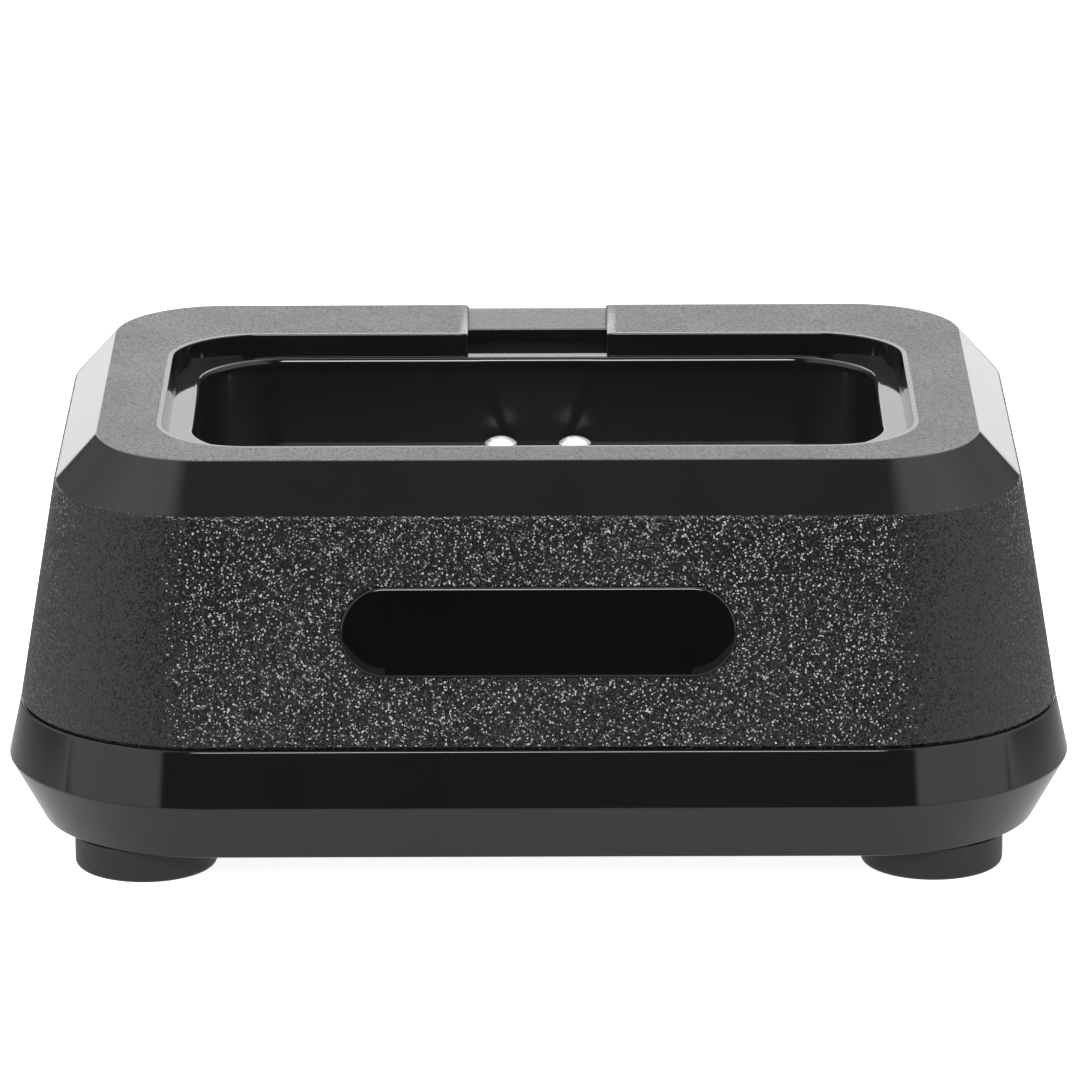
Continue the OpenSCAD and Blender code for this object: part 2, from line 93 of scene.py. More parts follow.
# Recess in the rim, and the keyway at its back
RIM_HALF_X = 31.75
RIM_HALF_Y = 18.1
RIM_Y = -2.9
WELL_R = 7.5
RIM_DRAFT = 0.07
KEY_HALF = 6.1
KEY_Y = 19.9
KEY_STEP = 0.8
KEY_STEP_REAR = 0.4
LAND = 0.25
LAND_END = 0.5
RIM_GRAIN = 0.9
KEY_GRAIN = 0.5
ledge_z = insert_high.z

# Well
WELL_HALF_X = 29.3
WELL_HALF_Y = 15.05
WELL_Y = -0.45
WELL_DROP = 7.6
WELL_DRAFT = 0.398
INSERT_WALL = 1.8
FLANGE_T = 1.8
FLANGE_R = 8.3
SCOOP_TOP = 5.4
SCOOP_LOW = 2.9
SCOOP_DEPTH = 0.3
under_z = insert_low.z
floor_z = ledge_z - WELL_DROP
LUG_X = 35.6
LUG_Y = 10.0
LUG_R = 3.0
LUG_T = 2.0
POST_R = 2.3
GUIDE_SCREW_X = 12.0
GUIDE_POST_H = 4.8

# Contacts
STEM_R = 1.4
HOLE_R = 1.48
STEM_OUT = 1.0
contact_x = (pin_low.x + pin_high.x) / 2
contact_y = (pin_low.y + pin_high.y) / 2

# Power inlet in the back wall
INLET_Z = 19.4
INLET_R = 3.4
DISH_R = 4.8
DISH_Y = 30.2
INLET_WALL = 2.6

# Case screws stand on the feet's axes
COUNTERBORE_R = 3.0
CASE_BOSS_R = 3.2
CASE_BOSS_TOP = 31.2
CASE_POST_R = 4.1
CASE_HEAD_Z = foot_h + 3.55
case_join_z = seam_z + LIP_H + LIP_GAP
foot_x = (foot_low.x + foot_high.x) / 2
foot_y = -(foot_low.y + foot_high.y) / 2
foot_r = (foot_high.x - foot_low.x) / 2

# Plain badge on the front
BADGE_HALF_H = 3.8
BADGE_Z = 22.6

CORNER_STEPS = 28


# ---- Mesh tools ----

def smooth_step(value, start, end):
    share = min(1, max(0, (value - start) / (end - start)))
    return share * share * (3 - 2 * share)


def rounded(corners, steps=6):
    """Points of a line through (out, height, radius) corners, with an arc at each corner that has a radius."""
    points = []
    for i, (out, height, radius) in enumerate(corners):
        here = Vector((out, height))
        if not radius:
            points.append(tuple(here))
            continue
        before = (Vector(corners[i - 1][:2]) - here).normalized()
        after = (Vector(corners[i + 1][:2]) - here).normalized()
        half = before.angle(after) / 2
        centre = here + (before + after).normalized() * radius / math.sin(half)
        start = here + before * radius / math.tan(half) - centre
        end = here + after * radius / math.tan(half) - centre
        first = math.atan2(start.y, start.x)
        turn = (math.atan2(end.y, end.x) - first + math.pi) % (2 * math.pi) - math.pi
        for step in range(steps + 1):
            angle = first + turn * step / steps
            points.append((centre.x + radius * math.cos(angle), centre.y + radius * math.sin(angle)))
    return points


def outline(half_x, half_y, radius, mid_y=0.0, rear_x=()):
    """Stations (x, y, normal x, normal y) round a rounded rectangle, anticlockwise from the front right
    corner, with further stations at rear_x along its back."""
    stations = []
    for corner, (side_x, side_y) in enumerate([(1, -1), (1, 1), (-1, 1), (-1, -1)]):
        for step in range(CORNER_STEPS + 1):
            angle = math.pi / 2 * (corner - 1 + step / CORNER_STEPS)
            nx, ny = math.cos(angle), math.sin(angle)
            x = side_x * (half_x - radius) + radius * nx
            y = mid_y + side_y * (half_y - radius) + radius * ny
            stations.append((x, y, nx, ny))
        if corner == 1:
            stations += [(x, mid_y + half_y, 0.0, 1.0) for x in rear_x]
    return stations


def moved_out(station, profile):
    """A profile's (out, height) points, standing at one station of an outline."""
    x, y, nx, ny = station
    return [(x + nx * out, y + ny * out, height) for out, height in profile]


def solid(name, columns, closed=False):
    """Mesh object from equal columns of points, the last one joined to the first. closed joins each
    column's two ends; otherwise the ends are capped."""
    rows = len(columns[0])
    count = len(columns)
    points = [tuple(c * MM for c in p) for column in columns for p in column]
    faces = []
    for i in range(count):
        j = (i + 1) % count
        for k in range(rows if closed else rows - 1):
            m = (k + 1) % rows
            faces.append((i * rows + k, j * rows + k, j * rows + m, i * rows + m))
    if not closed:
        faces.append([i * rows for i in range(count)])
        faces.append([i * rows + rows - 1 for i in range(count)])
    mesh = bpy.data.meshes.new(name)
    mesh.from_pydata(points, [], faces)
    return finished(bpy.data.objects.new(name, mesh))


def finished(piece):
    """Links a new object, welds its double points and turns its faces outwards."""
    bpy.context.scene.collection.objects.link(piece)
    made = bmesh.new()
    made.from_mesh(piece.data)
    bmesh.ops.remove_doubles(made, verts=made.verts, dist=0.0005 * MM)
    bmesh.ops.dissolve_degenerate(made, edges=made.edges, dist=0.0002 * MM)
    bmesh.ops.recalc_face_normals(made, faces=made.faces)
    made.to_mesh(piece.data)
    made.free()
    return piece


def turned(name, profile, x=0.0, y=0.0, steps=64):
    """Solid of revolution about a vertical axis: profile is (radius, height) from the bottom up."""
    columns = []
    for i in range(steps):
        angle = 2 * math.pi * i / steps
        columns.append([(x + r * math.cos(angle), y + r * math.sin(angle), z) for r, z in profile])
    return solid(name, columns)


def rod(radius, low, high, x=0.0, y=0.0, steps=64):
    return turned("rod", [(radius, low), (radius, high)], x, y, steps)


def rod_y(radius, front, back, height):
    """Rod along Y, made upright and then laid down."""
    made = rod(radius, front, back)
    made.data.transform(Matrix.Translation((0, 0, height * MM)) @ Matrix.Rotation(-math.pi / 2, 4, "X"))
    return made


def block(low, high):
    (x0, y0, z0), (x1, y1, z1) = low, high
    return solid("block", [[(x, y, z0), (x, y, z1)] for x, y in ((x0, y0), (x1, y0), (x1, y1), (x0, y1))])


def combine(piece, operation, others):
    """Adds the other solids to a piece or cuts them out of it, and deletes them."""
    for other in others:
        step = piece.modifiers.new("combine", "BOOLEAN")
        step.operation = operation
        step.solver = "EXACT"
        step.object = other
        shape = bpy.data.meshes.new_from_object(piece.evaluated_get(bpy.context.evaluated_depsgraph_get()))
        piece.modifiers.clear()
        piece.data = shape
        bpy.data.objects.remove(other)


def soften(piece, angle=35):
    """Smooth shading in which flat faces stay flat and unrounded edges stay sharp."""
    for face in piece.data.polygons:
        face.use_smooth = True
    piece.data.set_sharp_from_angle(angle=math.radians(angle))
    weighted = piece.modifiers.new("flat faces", "WEIGHTED_NORMAL")
    weighted.keep_sharp = True
    weighted.weight = 100


def dress(piece, body, node, finish):
    """Makes a new piece stand for a CAD node, on the node's body, with its finish."""
    piece.data.materials.clear()
    piece.data.materials.append(finish)
    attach(piece, body)
    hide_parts(node)
    return piece


def four_corners(x, y):
    return [(side_x * x, side_y * y) for side_x in (1, -1) for side_y in (1, -1)]


# ---- Upper housing ----

def body_out(z):
    """Offset of the sloping sides at a height."""
    return SEAM_OUT + (CHAMFER_OUT - SEAM_OUT) * (z - seam_z) / (chamfer_z - seam_z)


def chamfer_out(z):
    """Offset of the chamfer at a height."""
    return CHAMFER_OUT * (top_z - z) / CHAMFER_DROP


def housing_column(outer, opening, in_key, inset):
    """One column of the housing, up the outside, over the rim, down into the recess and back down
    inside. In the keyway the rim is lower and its wall further back. inset takes the column into the
    material, which rounds the keyway's edges."""
    rim_z = top_z - (KEY_STEP if in_key else inset)
    rear_z = top_z - (KEY_STEP_REAR if in_key else inset)
    back = KEY_Y - RIM_Y - RIM_HALF_Y if in_key else inset
    edge_z = seam_z + GROOVE_H
    outside = rounded([
        (SEAM_OUT - GROOVE_IN, seam_z, 0),
        (SEAM_OUT - GROOVE_IN, edge_z, 0),
        (body_out(edge_z), edge_z, 0.12),
        (CHAMFER_OUT, chamfer_z, 0.4),
        (chamfer_out(chamfer_z + 0.25), chamfer_z + 0.25, 0),
        (chamfer_out(rear_z), rear_z, 0.3),
        (chamfer_out(rear_z) - 1, rear_z, 0),
    ])
    recess = rounded([
        (back + LAND_END, rim_z, 0),
        (back + LAND, rim_z, 0),
        (back, rim_z, 0.12),
        (back - RIM_DRAFT, ledge_z, 0),
    ])
    inside = [
        (chamfer_out(ledge_z) - WALL, ledge_z),
        (CHAMFER_OUT - WALL, chamfer_z),
        (body_out(case_join_z) - WALL, case_join_z),
        (SEAM_OUT - WALL + LIP_T + LIP_GAP, case_join_z),
        (SEAM_OUT - WALL + LIP_T + LIP_GAP, seam_z),
    ]
    return moved_out(outer, outside) + moved_out(opening, recess) + moved_out(outer, inside)


def keyway_stations(radius=0.3, steps=5):
    """(x, in the keyway, inset) from right to left along the back of the rim."""
    edge = [(KEY_HALF + 0.9, False, 0.0)]
    for step in range(steps + 1):
        angle = math.pi / 2 * (1 - step / steps)
        edge.append((KEY_HALF + radius * (1 - math.cos(angle)), False, radius * (1 - math.sin(angle))))
    right = edge + [(KEY_HALF, True, 0.0)]
    return right + [(-x, in_key, inset) for x, in_key, inset in reversed(right)]


def surface_rule(x, y, z):
    """Moulded grain and extra mattness at a point: full grain on the sides, none on the polished chamfer
    and round the recess, a rubbed matt grain on the rim."""
    if z < chamfer_z + 0.2:
        return 1.0, 0.0
    if abs(x) < KEY_HALF + 0.4 and y > KEY_Y - 0.5 and z > top_z - KEY_STEP - 0.05:
        return KEY_GRAIN, 1.0
    if z < top_z - 0.02 or (abs(x) < KEY_HALF + 0.4 and y > RIM_Y + RIM_HALF_Y):
        return 0.0, 0.0
    over_x = max(0.0, abs(x) - (RIM_HALF_X - WELL_R))
    over_y = max(0.0, abs(y - RIM_Y) - (RIM_HALF_Y - WELL_R))
    share = smooth_step(math.hypot(over_x, over_y) - WELL_R, LAND, LAND_END)
    return RIM_GRAIN * share, share


def paint(piece, name, rule):
    """Stores a rule's value at every point of a mesh, for its material."""
    layer = piece.data.attributes.new(name, "FLOAT", "POINT")
    for vertex, value in zip(piece.data.vertices, layer.data):
        value.value = rule(*(c / MM for c in vertex.co))


def upper_shell():
    stations = keyway_stations()
    rear_x = [x for x, in_key, inset in stations]
    outer = outline(top_half_x, top_half_y, TOP_R, 0.0, rear_x)
    opening = outline(RIM_HALF_X, RIM_HALF_Y, WELL_R, RIM_Y, rear_x)
    state = [(False, 0.0)] * len(outer)
    first = 2 * (CORNER_STEPS + 1)
    state[first:first + len(stations)] = [(in_key, inset) for x, in_key, inset in stations]
    columns = [housing_column(a, b, *s) for a, b, s in zip(outer, opening, state)]
    shell = solid("upper_shell", columns, closed=True)
    combine(shell, "UNION", [rod(CASE_BOSS_R, case_join_z, CASE_BOSS_TOP, x, y) for x, y in four_corners(foot_x, foot_y)])
    lugs = four_corners(LUG_X, LUG_Y)
    combine(shell, "UNION", [rod(POST_R, under_z + LUG_T, ledge_z + 0.2, x, y) for x, y in lugs])
    combine(shell, "DIFFERENCE", [rod(1.1, under_z + LUG_T - 1, ledge_z - 1.6, x, y) for x, y in lugs])
    combine(shell, "UNION", [rod_y(INLET_R + 2.6, DISH_Y - INLET_WALL, DISH_Y + 0.2, INLET_Z)])
    combine(shell, "DIFFERENCE", [rod_y(DISH_R, DISH_Y, DISH_Y + 10, INLET_Z)])
    combine(shell, "DIFFERENCE", [rod_y(INLET_R, DISH_Y - INLET_WALL - 2, DISH_Y + 2, INLET_Z)])
    combine(shell, "DIFFERENCE", [badge_solid("pocket", -0.6, 3.0, 0.03, 0.0)])
    paint(shell, "grain", lambda x, y, z: surface_rule(x, y, z)[0])
    paint(shell, "matt", lambda x, y, z: surface_rule(x, y, z)[1])
    soften(shell)
    return dress(shell, "stand", "upper_housing", grained_plastic())


# ---- Badge ----

def badge_solid(name, low, high, grow, edge):
    """Pill on the front wall between two depths measured square to the wall."""
    half_h = BADGE_HALF_H + grow
    half_w = (badge_high.x - badge_low.x) / 2 + grow
    profile = [(0, low)] + rounded([(0, low, 0), (0, high, edge), (-1, high, 0)])[1:]
    columns = [moved_out(s, profile) for s in outline(half_w, half_h, half_h - 0.001)]
    pill = solid(name, columns)
    front_y = top_half_y + body_out(BADGE_Z)
    place = Matrix.Translation((0, -front_y * MM, BADGE_Z * MM)) @ Matrix.Rotation(math.pi / 2 - slope, 4, "X")
    pill.data.transform(place)
    return pill


def front_badge():
    badge = badge_solid("plain_badge", -0.58, 0.3, 0.0, 0.28)
    soften(badge)
    return dress(badge, "stand", "front_badge", polished_plastic("badge_gloss", 0.004, 0.04))


# ---- Well insert ----

def scoop_depth(x, z):
    """Depth of the channel that narrows down the well's back wall to the contacts."""
    up = (z - floor_z) / WELL_DROP
    half = SCOOP_LOW + (SCOOP_TOP - SCOOP_LOW) * up
    across = 1 - smooth_step(abs(x), half - 0.8, half + 0.4)
    return SCOOP_DEPTH * across * (1 - up)


def well_column(inner, flange):
    wall_rows = 14
    low = [(-6, floor_z), (-WELL_DRAFT, floor_z)]
    edge = rounded([(-WELL_DRAFT, floor_z, 0), (0, ledge_z, 0.5), (1.5, ledge_z, 0)], 6)[1:]
    out_a, z_a = low[-1]
    out_b, z_b = edge[0]
    wall = []
    for k in range(1, wall_rows):
        share = k / wall_rows
        wall.append((out_a + (out_b - out_a) * share, z_a + (z_b - z_a) * share))
    tub = [
        (out + (scoop_depth(inner[0], z) if inner[3] == 1.0 else 0), z) for out, z in low + wall + edge
    ]
    rim = rounded([(-1, ledge_z, 0), (0, ledge_z, 0.15), (0, ledge_z - FLANGE_T, 0.15), (-1, ledge_z - FLANGE_T, 0)], 3)
    under = rounded([
        (INSERT_WALL, ledge_z - FLANGE_T, 0), (INSERT_WALL - WELL_DRAFT, under_z, 0.6), (-6, under_z, 0)
    ], 4)
    return moved_out(inner, tub) + moved_out(flange, rim[1:-1]) + moved_out(inner, under)


def well_tub():
    flange_y = (insert_low.y + insert_high.y) / 2
    flange_half_x = RIM_HALF_X + 1.25
    flange_half_y = (insert_high.y - insert_low.y) / 2
    rear_x = [7 - 0.2 * k for k in range(71)]
    inner = outline(WELL_HALF_X, WELL_HALF_Y, WELL_R, WELL_Y, rear_x)
    flange = outline(flange_half_x, flange_half_y, FLANGE_R, flange_y, rear_x)
    tub = solid("well_tub", [well_column(a, b) for a, b in zip(inner, flange)])
    low, high = under_z, under_z + LUG_T
    bars = [block((-LUG_X, s * LUG_Y - LUG_R, low), (LUG_X, s * LUG_Y + LUG_R, high)) for s in (1, -1)]
    combine(tub, "UNION", bars)
    combine(tub, "UNION", [rod(LUG_R, low, high, x, y) for x, y in four_corners(LUG_X, LUG_Y)])
    posts = [(s * GUIDE_SCREW_X, contact_y) for s in (1, -1)]
    combine(tub, "UNION", [rod(POST_R, low - GUIDE_POST_H, low + 0.2, x, y) for x, y in posts])
    combine(tub, "DIFFERENCE", [rod(0.9, low - GUIDE_POST_H - 1, low - 0.4, x, y) for x, y in posts])
    combine(tub, "DIFFERENCE", [rod(1.3, low - 1, high + 1, x, y) for x, y in four_corners(LUG_X, LUG_Y)])
    combine(tub, "DIFFERENCE", [rod(HOLE_R, low - 1, floor_z + 1, s * contact_x, contact_y) for s in (1, -1)])
    paint(tub, "matt", lambda x, y, z: smooth_step(ledge_z - z, 0.6, 1.4))
    soften(tub)
    return dress(tub, "stand", "well_insert", polished_plastic("insert_gloss", 0.008, 0.05))


# ---- Base housing ----

def base_column(station):
    deck_z = foot_h + 2
    inner_out = FLOOR_OUT + (BAND_OUT - FLOOR_OUT) * 2 / (BAND_Z - foot_h) - WALL
    lip_out = SEAM_OUT - WALL + LIP_T
    profile = rounded([
        (-4, foot_h, 0), (FLOOR_OUT, foot_h, 0.3), (BAND_OUT, BAND_Z, 0.25), (SEAM_OUT, seam_z, 0.22),
        (lip_out, seam_z, 0), (lip_out, seam_z + LIP_H, 0), (SEAM_OUT - WALL, seam_z + LIP_H, 0),
        (SEAM_OUT - WALL, seam_z, 0), (BAND_OUT - WALL, BAND_Z, 0), (inner_out, deck_z, 0), (-4, deck_z, 0),
    ])
    return moved_out(station, profile)


def base_shell():
    base = solid("base_shell", [base_column(s) for s in outline(top_half_x, top_half_y, TOP_R)])
    corners = four_corners(foot_x, foot_y)
    combine(base, "UNION", [rod(CASE_POST_R, foot_h + 0.5, case_join_z, x, y) for x, y in corners])
    combine(base, "DIFFERENCE", [rod(COUNTERBORE_R, foot_h - 1, CASE_HEAD_Z, x, y) for x, y in corners])
    combine(base, "DIFFERENCE", [rod(1.6, CASE_HEAD_Z - 0.5, case_join_z + 1, x, y) for x, y in corners])
    soften(base)
    return dress(base, "stand", "base_housing", polished_plastic("base_gloss", 0.008, 0.06))


# ---- Feet and contacts ----

def rubber_foot(name, x, y, finish):
    peg_r = COUNTERBORE_R - 0.1
    profile = rounded([
        (0.5, 0, 0), (foot_r, 0, 0.45), (foot_r, foot_h, 0.15), (peg_r, foot_h, 0),
        (peg_r, foot_high.z, 0.3), (0.5, foot_high.z, 0),
    ])
    foot = turned("rubber_" + name, profile, x, y, 96)
    soften(foot)
    return dress(foot, "stand", name, finish)


def contact_pin(side, x, finish):
    """Domed pin with its collar, above the spring's guide."""
    straight_z = floor_z + STEM_OUT
    dome_h = pin_high.z - straight_z
    dome_r = (STEM_R * STEM_R + dome_h * dome_h) / (2 * dome_h)
    span = math.asin(STEM_R / dome_r)
    dome = [
        (dome_r * math.sin(span * (1 - k / 12)), pin_high.z - dome_r * (1 - math.cos(span * (1 - k / 12))))
        for k in range(12)
    ] + [(0.02, pin_high.z)]
    collar_r = (pin_high.x - pin_low.x) / 2
    collar_z = pin_low.z + 1
    shaft = rounded([
        (0.3, pin_low.z, 0), (0.9, pin_low.z, 0.1), (0.9, collar_z, 0), (collar_r, collar_z, 0.1),
        (collar_r, collar_z + 1.8, 0.1), (STEM_R, collar_z + 1.8, 0), (STEM_R, straight_z - 0.05, 0),
    ])
    pin = turned("contact_pin_" + side, shaft + dome, x, contact_y, 64)
    soften(pin)
    return dress(pin, "contact_" + side, "contact_plunger_" + side, finish)


def contact_coil(side, x, finish):
    """Spring coiled at an even pitch, which moves with its contact as one piece."""
    wire = 0.2
    turns = 6
    sides = 10
    steps = 24
    radius = (spring_high.x - spring_low.x) / 2 - wire
    low = spring_low.z + wire
    travel = spring_high.z - spring_low.z - 2 * wire
    columns = [[] for i in range(sides)]
    for k in range(turns * steps + 1):
        turn = 2 * math.pi * k / steps
        height = low + travel * k / (turns * steps)
        for i in range(sides):
            angle = 2 * math.pi * i / sides
            out = radius + wire * math.cos(angle)
            columns[i].append((
                x + out * math.cos(turn), contact_y + out * math.sin(turn), height + wire * math.sin(angle)
            ))
    coil = solid("contact_coil_" + side, columns)
    soften(coil, 60)
    dress(coil, "contact_" + side, "contact_spring_" + side, finish)
    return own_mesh(coil)


# ---- Materials ----

def new_material(name):
    made = bpy.data.materials.new(name)
    made.use_nodes = True
    return made, made.node_tree, made.node_tree.nodes["Principled BSDF"]


def node(tree, kind, inputs=None, **settings):
    """Adds a node. Each input gets a value, or a link when it is given an output."""
    made = tree.nodes.new(kind)
    for key, value in settings.items():
        setattr(made, key, value)
    for key, value in (inputs or {}).items():
        if isinstance(value, bpy.types.NodeSocket):
            tree.links.new(value, made.inputs[key])
        else:
            made.inputs[key].default_value = value
    return made


def place(tree):
    return node(tree, "ShaderNodeTexCoord").outputs["Object"]


def noise(tree, vector, size_mm, detail=2.0, rough=0.5):
    inputs = {"Vector": vector, "Scale": 1 / (size_mm * MM), "Detail": detail, "Roughness": rough}
    return node(tree, "ShaderNodeTexNoise", inputs).outputs["Fac"]


def remap(tree, value, from_low, from_high, to_low=0.0, to_high=1.0, smooth=False):
    inputs = {0: value, 1: from_low, 2: from_high, 3: to_low, 4: to_high}
    kind = "SMOOTHSTEP" if smooth else "LINEAR"
    return node(tree, "ShaderNodeMapRange", inputs, interpolation_type=kind).outputs[0]


def maths(tree, operation, a, b=0.0):
    return node(tree, "ShaderNodeMath", {0: a, 1: b}, operation=operation).outputs[0]


def grey_ramp(tree, value, low, high, tint=(1.0, 1.0, 1.04)):
    """Colour that runs from one shade to another with value."""
    inputs = {
        "Factor": value,
        "A": (low * tint[0], low * tint[1], low * tint[2], 1),
        "B": (high * tint[0], high * tint[1], high * tint[2], 1),
    }
    made = node(tree, "ShaderNodeMix", None, data_type="RGBA")
    for socket, key in ((made.inputs[6], "A"), (made.inputs[7], "B")):
        socket.default_value = inputs[key]
    tree.links.new(value, made.inputs[0])
    return made.outputs[2]


def grained_plastic():
    """Black plastic with a fine moulded grain of small facets, polished where the grain attribute is 0."""
    made, tree, shader = new_material("grained_black_plastic")
    where = place(tree)
    grain = node(tree, "ShaderNodeAttribute", attribute_name="grain").outputs["Fac"]
    facets = node(tree, "ShaderNodeTexVoronoi", {"Vector": where, "Scale": 1 / (0.125 * MM)}).outputs["Color"]
    tilt = node(tree, "ShaderNodeVectorMath", {0: facets, 1: (0.5, 0.5, 0.5)}, operation="SUBTRACT").outputs[0]
    tilt = node(tree, "ShaderNodeVectorMath", {0: tilt, 1: (0.42, 1.0, 1.0)}, operation="MULTIPLY").outputs[0]
    tilt = node(tree, "ShaderNodeVectorMath", {
        0: tilt, "Scale": maths(tree, "MULTIPLY", grain, 0.8)
    }, operation="SCALE").outputs[0]
    level = node(tree, "ShaderNodeNewGeometry").outputs["Normal"]
    tilted = node(tree, "ShaderNodeVectorMath", {0: level, 1: tilt}, operation="ADD").outputs[0]
    tilted = node(tree, "ShaderNodeVectorMath", {0: tilted}, operation="NORMALIZE").outputs[0]
    soft = noise(tree, where, 0.5, 1.5, 0.5)
    bump = node(tree, "ShaderNodeBump", {
        "Strength": grain, "Distance": 0.05 * MM, "Height": soft, "Normal": tilted
    })
    tree.links.new(bump.outputs[0], shader.inputs["Normal"])
    wear = noise(tree, where, 9.0, 3.0)
    tree.links.new(grey_ramp(tree, wear, 0.006, 0.011), shader.inputs["Base Color"])
    matt = remap(tree, wear, 0.3, 0.7, 0.16, 0.22)
    gloss = remap(tree, wear, 0.3, 0.7, 0.05, 0.08)
    blend = node(tree, "ShaderNodeMix", None, data_type="FLOAT")
    tree.links.new(grain, blend.inputs[0])
    tree.links.new(gloss, blend.inputs[2])
    tree.links.new(matt, blend.inputs[3])
    rubbed = node(tree, "ShaderNodeAttribute", attribute_name="matt").outputs["Fac"]
    rough = maths(tree, "ADD", blend.outputs[0], maths(tree, "MULTIPLY", rubbed, 0.3))
    tree.links.new(rough, shader.inputs["Roughness"])
    return made


def polished_plastic(name, shade, rough):
    """Black gloss moulding with faint flow marks and fine handling marks."""
    made, tree, shader = new_material(name)
    where = place(tree)
    flow = noise(tree, where, 14.0, 2.0)
    marks = noise(tree, where, 0.6, 4.0, 0.7)
    tree.links.new(grey_ramp(tree, flow, shade * 0.8, shade * 1.3), shader.inputs["Base Color"])
    gloss = remap(tree, marks, 0.35, 0.75, rough * 0.8, rough * 1.5)
    worn = node(tree, "ShaderNodeAttribute", attribute_name="matt").outputs["Fac"]
    rough = maths(tree, "ADD", gloss, maths(tree, "MULTIPLY", worn, 0.2))
    tree.links.new(rough, shader.inputs["Roughness"])
    bump = node(tree, "ShaderNodeBump", {"Strength": 0.25, "Distance": 0.01 * MM, "Height": flow})
    tree.links.new(bump.outputs[0], shader.inputs["Normal"])
    return made


def moulded(name, colour, rough, grain_mm=0.35, depth_mm=0.01, metallic=0.0):
    """Satin moulding or cast surface: mottled colour and a fine grain."""
    made, tree, shader = new_material(name)
    where = place(tree)
    mottle = noise(tree, where, 3.0, 3.0)
    fine = noise(tree, where, grain_mm, 3.0, 0.6)
    mix = node(tree, "ShaderNodeMix", None, data_type="RGBA")
    tree.links.new(mottle, mix.inputs[0])
    mix.inputs[6].default_value = (*(c * 0.85 for c in colour), 1)
    mix.inputs[7].default_value = (*(min(1, c * 1.12) for c in colour), 1)
    tree.links.new(mix.outputs[2], shader.inputs["Base Color"])
    tree.links.new(remap(tree, fine, 0.3, 0.7, rough * 0.85, min(1, rough * 1.15)), shader.inputs["Roughness"])
    shader.inputs["Metallic"].default_value = metallic
    bump = node(tree, "ShaderNodeBump", {"Strength": 0.6, "Distance": depth_mm * MM, "Height": fine})
    tree.links.new(bump.outputs[0], shader.inputs["Normal"])
    return made


def drawn_metal(name, colour, rough, along=(1, 1, 12)):
    """Metal with fine lines left by drawing, turning or rolling."""
    made, tree, shader = new_material(name)
    where = node(tree, "ShaderNodeMapping", {"Vector": place(tree), "Scale": along}).outputs[0]
    lines = noise(tree, where, 0.8, 3.0, 0.6)
    shader.inputs["Metallic"].default_value = 1.0
    mix = node(tree, "ShaderNodeMix", None, data_type="RGBA")
    tree.links.new(lines, mix.inputs[0])
    mix.inputs[6].default_value = (*(c * 0.9 for c in colour), 1)
    mix.inputs[7].default_value = (*(min(1, c * 1.06) for c in colour), 1)
    tree.links.new(mix.outputs[2], shader.inputs["Base Color"])
    tree.links.new(remap(tree, lines, 0.3, 0.7, rough * 0.7, rough * 1.4), shader.inputs["Roughness"])
    bump = node(tree, "ShaderNodeBump", {"Strength": 0.2, "Distance": 0.01 * MM, "Height": lines})
    tree.links.new(bump.outputs[0], shader.inputs["Normal"])
    return made


def dress_cad_nodes():
    """Gives every CAD node that still shows a finish of its own kind."""
    finishes = {
        "brass": drawn_metal("turned_brass", (0.72, 0.55, 0.27), 0.22),
        "guide_plastic": moulded("guide_plastic", (0.06, 0.06, 0.06), 0.5),
        "board": moulded("solder_mask", (0.012, 0.11, 0.045), 0.35, 0.9, 0.02),
        "jack_plastic": moulded("jack_plastic", (0.015, 0.015, 0.016), 0.45),
        "tinned_metal": drawn_metal("tin_plate", (0.72, 0.72, 0.7), 0.3),
        "component_plastic": moulded("component_plastic", (0.035, 0.035, 0.038), 0.5),
        "capacitor_sleeve": moulded("capacitor_sleeve", (0.02, 0.03, 0.12), 0.3),
        "resistor_body": moulded("resistor_lacquer", (0.5, 0.37, 0.2), 0.4),
        "ballast_steel": drawn_metal("rolled_steel", (0.36, 0.36, 0.37), 0.42, (14, 1, 1)),
        "screw_steel": drawn_metal("zinc_plate", (0.58, 0.58, 0.57), 0.3, (1, 1, 4)),
        "contact_metal": drawn_metal("nickel_plate", (0.8, 0.79, 0.76), 0.15),
    }
    slots = {part["node"]: part["material_slot"] for part in frame["record"]["subparts"]}
    for name, shown in frame["nodes"].items():
        if shown.hide_render:
            continue
        shown.data.materials.clear()
        shown.data.materials.append(finishes[slots[name]])


# ---- Light, floor and camera ----

def soft_disc(tree, way, azimuth, elevation, radius, blur, strength):
    """Round light in the sky. Azimuth 0 is straight in front of the object, 180 behind it."""
    turn, rise = math.radians(azimuth), math.radians(elevation)
    centre = Vector((math.sin(turn) * math.cos(rise), -math.cos(turn) * math.cos(rise), math.sin(rise)))
    facing = node(tree, "ShaderNodeVectorMath", {0: way, 1: centre}, operation="DOT_PRODUCT").outputs["Value"]
    outside, inside = math.cos(math.radians(radius + blur)), math.cos(math.radians(radius))
    return remap(tree, facing, outside, inside, 0.0, strength, smooth=True)


